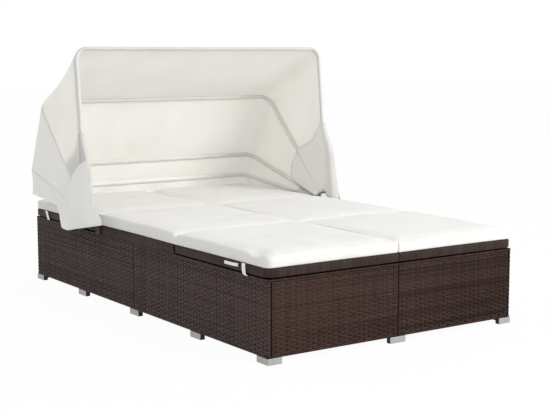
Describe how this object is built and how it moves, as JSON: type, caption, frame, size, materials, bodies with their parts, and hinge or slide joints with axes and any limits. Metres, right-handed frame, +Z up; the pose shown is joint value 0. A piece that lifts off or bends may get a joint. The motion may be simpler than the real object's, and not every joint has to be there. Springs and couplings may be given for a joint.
{
  "type": "outdoor daybed with canopy",
  "caption": "Low woven double daybed on small feet with split cushions, hinged head and foot flaps on prop stays, and a folding fabric hood on bent bows over the head end.",
  "frame": {"origin": "on the floor under the middle of the bed, at the underside of the middle foot", "axes": "+Z up, +Y towards the head end with the hood, +X to the right of a person who stands at the foot end and looks to the head end"},
  "size_m": [1.3536, 2.0162, 1.1245],
  "materials": {
    "weave": "flat plastic strand, woven",
    "deck_weave": "flat plastic strand, woven",
    "frame_steel": "dark powder coat",
    "leg": "satin",
    "zinc_steel": "zinc plated",
    "bow_tube": "satin",
    "cushion_cover": "plain weave cover over foam",
    "canopy_cloth": "thin plain weave, lets light through"
  },
  "bodies": {
    "bed": {"side_panel_left_head": "weave", "side_panel_left_foot": "weave", "side_panel_right_head": "weave", "side_panel_right_foot": "weave", "end_panel_head_left": "weave", "end_panel_foot_left": "weave", "end_panel_head_right": "weave", "end_panel_foot_right": "weave", "side_rail_left": "frame_steel", "side_rail_right": "frame_steel", "end_rail_head": "frame_steel", "end_rail_foot": "frame_steel", "centre_beam": "frame_steel", "leg_left_1": "leg", "leg_left_2": "leg", "leg_left_3": "leg", "leg_left_4": "leg", "leg_left_5": "leg", "leg_right_1": "leg", "leg_right_2": "leg", "leg_right_3": "leg", "leg_right_4": "leg", "leg_right_5": "leg", "leg_centre_middle": "leg", "leg_centre_head": "leg", "leg_centre_foot": "leg", "hinge_rod_head": "zinc_steel", "hinge_rod_foot": "zinc_steel", "middle_deck_left": "deck_weave", "middle_deck_right": "deck_weave", "cushion_middle_left": "cushion_cover", "cushion_middle_right": "cushion_cover", "cushion_fold_head_left": "cushion_cover", "cushion_fold_head_right": "cushion_cover", "cushion_fold_foot_left": "cushion_cover", "cushion_fold_foot_right": "cushion_cover", "pivot_bracket_left": "frame_steel", "pivot_bracket_right": "frame_steel", "bow_rear": "bow_tube", "canopy_rear_panel": "canopy_cloth"},
    "head_flap_left_body": {"head_flap_left": "deck_weave", "cushion_head_left": "cushion_cover"},
    "head_stay_left_body": {"stay_head_left": "zinc_steel"},
    "head_flap_right_body": {"head_flap_right": "deck_weave", "cushion_head_right": "cushion_cover"},
    "head_stay_right_body": {"stay_head_right": "zinc_steel"},
    "foot_flap_left_body": {"foot_flap_left": "deck_weave", "cushion_foot_left": "cushion_cover"},
    "foot_stay_left_body": {"stay_foot_left": "zinc_steel"},
    "foot_flap_right_body": {"foot_flap_right": "deck_weave", "cushion_foot_right": "cushion_cover"},
    "foot_stay_right_body": {"stay_foot_right": "zinc_steel"},
    "third_bow_body": {"bow_third": "bow_tube"},
    "second_bow_body": {"bow_second": "bow_tube", "canopy_middle_panel": "canopy_cloth"},
    "front_bow_body": {"bow_front": "bow_tube", "canopy_front_panel": "canopy_cloth"}
  },
  "joints": [
    {"name": "head_flap_left_hinge", "type": "hinge", "parent": "bed", "child": "head_flap_left_body", "pos_m": [-0.3, 0.332, 0.335], "axis": [1, 0, 0], "range_deg": [0, 60], "deforming": ["cushion_fold_head_left"]},
    {"name": "head_stay_left_pivot", "type": "hinge", "parent": "head_flap_left_body", "child": "head_stay_left_body", "pos_m": [-0.3, 0.562, 0.3], "axis": [-1, 0, 0], "range_deg": [0, 103.3]},
    {"name": "head_flap_right_hinge", "type": "hinge", "parent": "bed", "child": "head_flap_right_body", "pos_m": [0.3, 0.332, 0.335], "axis": [1, 0, 0], "range_deg": [0, 60], "deforming": ["cushion_fold_head_right"]},
    {"name": "head_stay_right_pivot", "type": "hinge", "parent": "head_flap_right_body", "child": "head_stay_right_body", "pos_m": [0.3, 0.562, 0.3], "axis": [-1, 0, 0], "range_deg": [0, 103.3]},
    {"name": "foot_flap_left_hinge", "type": "hinge", "parent": "bed", "child": "foot_flap_left_body", "pos_m": [-0.3, -0.348, 0.335], "axis": [-1, 0, 0], "range_deg": [0, 45], "deforming": ["cushion_fold_foot_left"]},
    {"name": "foot_stay_left_pivot", "type": "hinge", "parent": "foot_flap_left_body", "child": "foot_stay_left_body", "pos_m": [-0.3, -0.578, 0.3], "axis": [1, 0, 0], "range_deg": [0, 77.6]},
    {"name": "foot_flap_right_hinge", "type": "hinge", "parent": "bed", "child": "foot_flap_right_body", "pos_m": [0.3, -0.348, 0.335], "axis": [-1, 0, 0], "range_deg": [0, 45], "deforming": ["cushion_fold_foot_right"]},
    {"name": "foot_stay_right_pivot", "type": "hinge", "parent": "foot_flap_right_body", "child": "foot_stay_right_body", "pos_m": [0.3, -0.578, 0.3], "axis": [1, 0, 0], "range_deg": [0, 77.6]},
    {"name": "third_bow_fold", "type": "hinge", "parent": "bed", "child": "third_bow_body", "pos_m": [0, 0.318, 0.374], "axis": [-1, 0, 0], "range_deg": [0, 6.35], "deforming": ["canopy_rear_panel"]},
    {"name": "second_bow_fold", "type": "hinge", "parent": "third_bow_body", "child": "second_bow_body", "pos_m": [0, 0.318, 0.374], "axis": [-1, 0, 0], "range_deg": [0, 26.35], "deforming": ["canopy_middle_panel"]},
    {"name": "front_bow_fold", "type": "hinge", "parent": "second_bow_body", "child": "front_bow_body", "pos_m": [0, 0.318, 0.374], "axis": [-1, 0, 0], "range_deg": [0, 36.3], "deforming": ["canopy_front_panel"]}
  ],
  "couplings": [
    {"joint": "head_stay_left_pivot", "follows": "head_flap_left_hinge", "ratio": 1.7201},
    {"joint": "head_stay_right_pivot", "follows": "head_flap_right_hinge", "ratio": 1.7201},
    {"joint": "foot_stay_left_pivot", "follows": "foot_flap_left_hinge", "ratio": 1.7223},
    {"joint": "foot_stay_right_pivot", "follows": "foot_flap_right_hinge", "ratio": 1.7223},
    {"joint": "second_bow_fold", "follows": "front_bow_fold", "ratio": 0.72452},
    {"joint": "third_bow_fold", "follows": "front_bow_fold", "ratio": 0.17355}
  ]
}
